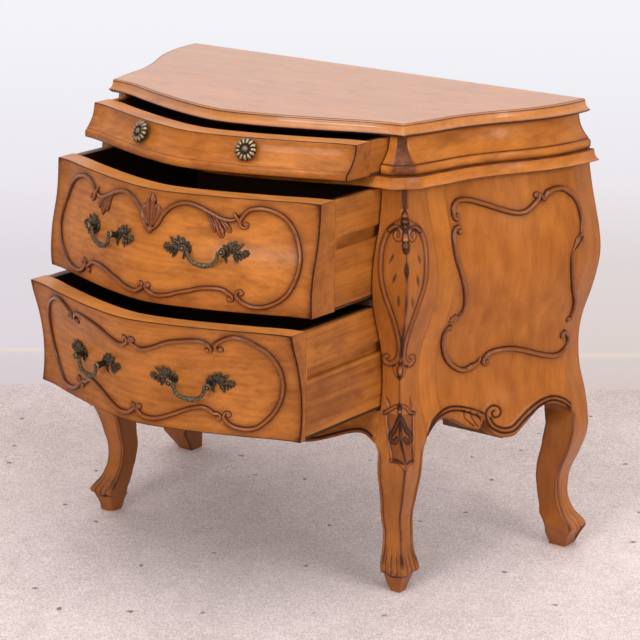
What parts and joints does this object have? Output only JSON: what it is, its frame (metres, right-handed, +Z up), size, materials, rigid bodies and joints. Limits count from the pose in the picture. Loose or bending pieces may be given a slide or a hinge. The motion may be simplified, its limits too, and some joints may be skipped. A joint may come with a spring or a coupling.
{
  "type": "bombe chest",
  "caption": "Bombe chest of drawers in honey-coloured wood, with swelling sides, a serpentine front, scrolled carving, brass pulls and cabriole legs.",
  "frame": {"origin": "on the floor, under the middle of the whole chest's box with its drawers as they stand", "axes": "+Z up, -Y out of the drawer fronts, +X to the right of someone who faces the drawers"},
  "size_m": [0.9662, 0.7284, 0.82],
  "materials": {
    "top_wood": "satin lacquer over honey-coloured fruitwood",
    "case_wood": "satin lacquer over honey-coloured fruitwood, glazed brown in its recesses",
    "carved_wood": "satin lacquer with dark brown glaze along the carving",
    "front_wood": "satin lacquer over honey-coloured fruitwood veneer",
    "inside_wood": "sealed secondary wood",
    "aged_brass": "aged brass, dark brown with rubbed high spots"
  },
  "bodies": {
    "case": {"top_board": "top_wood", "frieze_right": "case_wood", "frieze_left": "case_wood", "waist_moulding_right": "case_wood", "waist_moulding_left": "case_wood", "waist_moulding_front": "case_wood", "front_leg_right": "case_wood", "front_leg_left": "case_wood", "back_leg_right": "case_wood", "back_leg_left": "case_wood", "side_panel_right": "case_wood", "side_panel_left": "case_wood", "front_apron": "case_wood", "back_panel": "inside_wood", "bottom_board": "inside_wood", "drawer_rail": "inside_wood", "top_runner_right": "inside_wood", "top_runner_left": "inside_wood", "middle_runner_right": "inside_wood", "middle_runner_left": "inside_wood", "bottom_runner_right": "inside_wood", "bottom_runner_left": "inside_wood", "side_cartouche_right": "carved_wood", "side_cartouche_left": "carved_wood"},
    "top_drawer": {"top_drawer_front": "front_wood", "top_drawer_side_right": "inside_wood", "top_drawer_side_left": "inside_wood", "top_drawer_back": "inside_wood", "top_drawer_bottom": "inside_wood", "knob_right": "aged_brass", "knob_left": "aged_brass"},
    "middle_drawer": {"middle_drawer_front": "front_wood", "middle_drawer_side_right": "inside_wood", "middle_drawer_side_left": "inside_wood", "middle_drawer_back": "inside_wood", "middle_drawer_bottom": "inside_wood", "middle_drawer_cartouche": "carved_wood", "middle_pull_right_plate_right": "aged_brass", "middle_pull_right_plate_left": "aged_brass", "middle_pull_left_plate_right": "aged_brass", "middle_pull_left_plate_left": "aged_brass"},
    "bottom_drawer": {"bottom_drawer_front": "front_wood", "bottom_drawer_side_right": "inside_wood", "bottom_drawer_side_left": "inside_wood", "bottom_drawer_back": "inside_wood", "bottom_drawer_bottom": "inside_wood", "bottom_drawer_cartouche": "carved_wood", "bottom_pull_right_plate_right": "aged_brass", "bottom_pull_right_plate_left": "aged_brass", "bottom_pull_left_plate_right": "aged_brass", "bottom_pull_left_plate_left": "aged_brass"},
    "middle_bail_right": {"middle_bail_right": "aged_brass"},
    "middle_bail_left": {"middle_bail_left": "aged_brass"},
    "bottom_bail_right": {"bottom_bail_right": "aged_brass"},
    "bottom_bail_left": {"bottom_bail_left": "aged_brass"}
  },
  "joints": [
    {"name": "top_drawer_slide", "type": "slide", "parent": "case", "child": "top_drawer", "axis": [0, -1, 0], "range_m": [-0.09, 0.16]},
    {"name": "middle_drawer_slide", "type": "slide", "parent": "case", "child": "middle_drawer", "axis": [0, -1, 0], "range_m": [-0.166, 0.114]},
    {"name": "bottom_drawer_slide", "type": "slide", "parent": "case", "child": "bottom_drawer", "axis": [0, -1, 0], "range_m": [-0.224, 0.056]},
    {"name": "middle_bail_right_hinge", "type": "hinge", "parent": "middle_drawer", "child": "middle_bail_right", "pos_m": [0.11079, -0.29311, 0.62673], "axis": [-0.9565, -0.2918, 0], "range_deg": [0, 95]},
    {"name": "middle_bail_left_hinge", "type": "hinge", "parent": "middle_drawer", "child": "middle_bail_left", "pos_m": [-0.11079, -0.29311, 0.62673], "axis": [-0.9565, 0.2918, 0], "range_deg": [0, 95]},
    {"name": "bottom_bail_right_hinge", "type": "hinge", "parent": "bottom_drawer", "child": "bottom_bail_right", "pos_m": [0.11091, -0.33016, 0.40593], "axis": [-0.9564, -0.2921, 0], "range_deg": [0, 95]},
    {"name": "bottom_bail_left_hinge", "type": "hinge", "parent": "bottom_drawer", "child": "bottom_bail_left", "pos_m": [-0.11091, -0.33016, 0.40593], "axis": [-0.9564, 0.2921, 0], "range_deg": [0, 95]}
  ]
}
